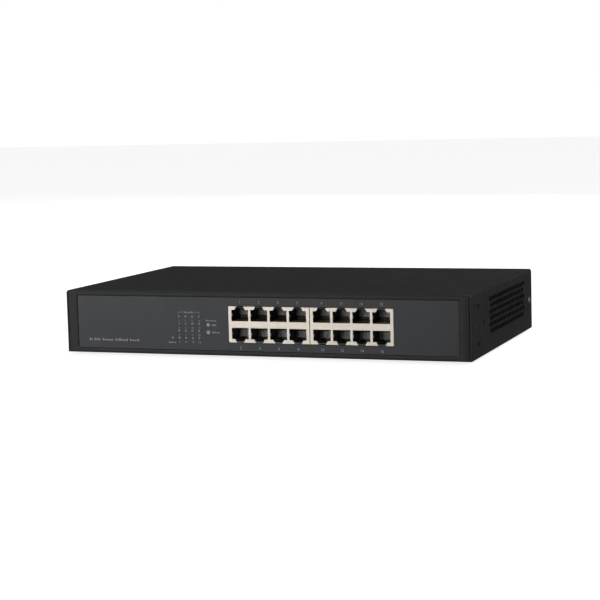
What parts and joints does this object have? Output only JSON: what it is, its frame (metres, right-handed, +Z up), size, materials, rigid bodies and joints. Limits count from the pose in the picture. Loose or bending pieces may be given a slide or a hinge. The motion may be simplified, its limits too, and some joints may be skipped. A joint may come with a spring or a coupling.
{
  "type": "desktop network switch",
  "caption": "Folded steel desktop network switch with two rows of shielded sockets, status lights, side vents, rack-ear holes and a mains inlet.",
  "frame": {"origin": "centre of the footprint, on the surface that the rubber feet stand on", "axes": "+X to the right of someone facing the sockets, -Y out of the front panel, +Z up"},
  "size_m": [0.296, 0.182, 0.046],
  "materials": {
    "case_paint": "fine-textured black powder coat",
    "label_film": "satin dark grey printed film",
    "light_guide": "clear moulded plastic",
    "led": "white surface-mount lights",
    "shield_steel": "tin-plated sheet",
    "jack_plastic": "black moulded plastic",
    "contact_gold": "gold-plated spring wire",
    "board_green": "green solder mask over glass laminate",
    "board_tan": "bare tan laminate",
    "chip_black": "moulded black epoxy",
    "heatsink": "extruded, plain",
    "crystal_can": "drawn can",
    "inductor": "pressed ferrite powder",
    "ceramic": "fired ceramic with tinned ends",
    "can_sleeve": "sleeved can with a bare top",
    "inlet_plastic": "black moulded plastic",
    "pin_brass": "nickel-plated blades",
    "screw_black": "black-plated",
    "screw_bright": "bright nickel-plated",
    "earth_screw": "yellow passivated",
    "film_clear": "translucent polyester sheet",
    "transformer": "yellow tape over a dark ferrite core",
    "choke": "green coated ring core",
    "line_box": "moulded box capacitor",
    "fuse": "glass tube with plated caps",
    "connector": "natural nylon",
    "wire_brown": "plastic insulation",
    "wire_green": "plastic insulation",
    "wire_red": "plastic insulation",
    "foot_rubber": "soft black rubber"
  },
  "bodies": {
    "root": {"base_tray": "case_paint", "top_cover": "case_paint", "front_label": "label_film", "light_guide": "light_guide", "status_leds": "led", "jack_shield_left": "shield_steel", "jack_shield_right": "shield_steel", "jack_housing_left": "jack_plastic", "jack_housing_right": "jack_plastic", "jack_contacts_left": "contact_gold", "jack_contacts_right": "contact_gold", "main_board": "board_green", "switch_chip": "chip_black", "chip_heatsink": "heatsink", "port_transformers": "chip_black", "transceiver_chips": "chip_black", "memory_chip": "chip_black", "clock_crystal": "crystal_can", "regulator_chips": "chip_black", "power_inductors": "inductor", "board_capacitors": "can_sleeve", "chip_components": "ceramic", "power_inlet": "inlet_plastic", "inlet_pins": "pin_brass", "inlet_screws": "screw_black", "power_board": "board_tan", "insulation_sheet": "film_clear", "power_transformer": "transformer", "bulk_capacitor": "can_sleeve", "output_capacitors": "can_sleeve", "line_choke": "choke", "line_capacitor": "line_box", "bridge_rectifier": "chip_black", "power_heatsink": "heatsink", "power_transistor": "chip_black", "mains_fuse": "fuse", "mains_header": "connector", "mains_plug": "connector", "dc_headers": "connector", "dc_plugs": "connector", "mains_wires": "wire_brown", "earth_wire": "wire_green", "dc_wires": "wire_red", "standoffs": "screw_bright", "board_screws": "screw_bright", "cover_screws": "screw_bright", "earth_screw": "earth_screw", "rubber_feet": "foot_rubber"}
  },
  "joints": []
}
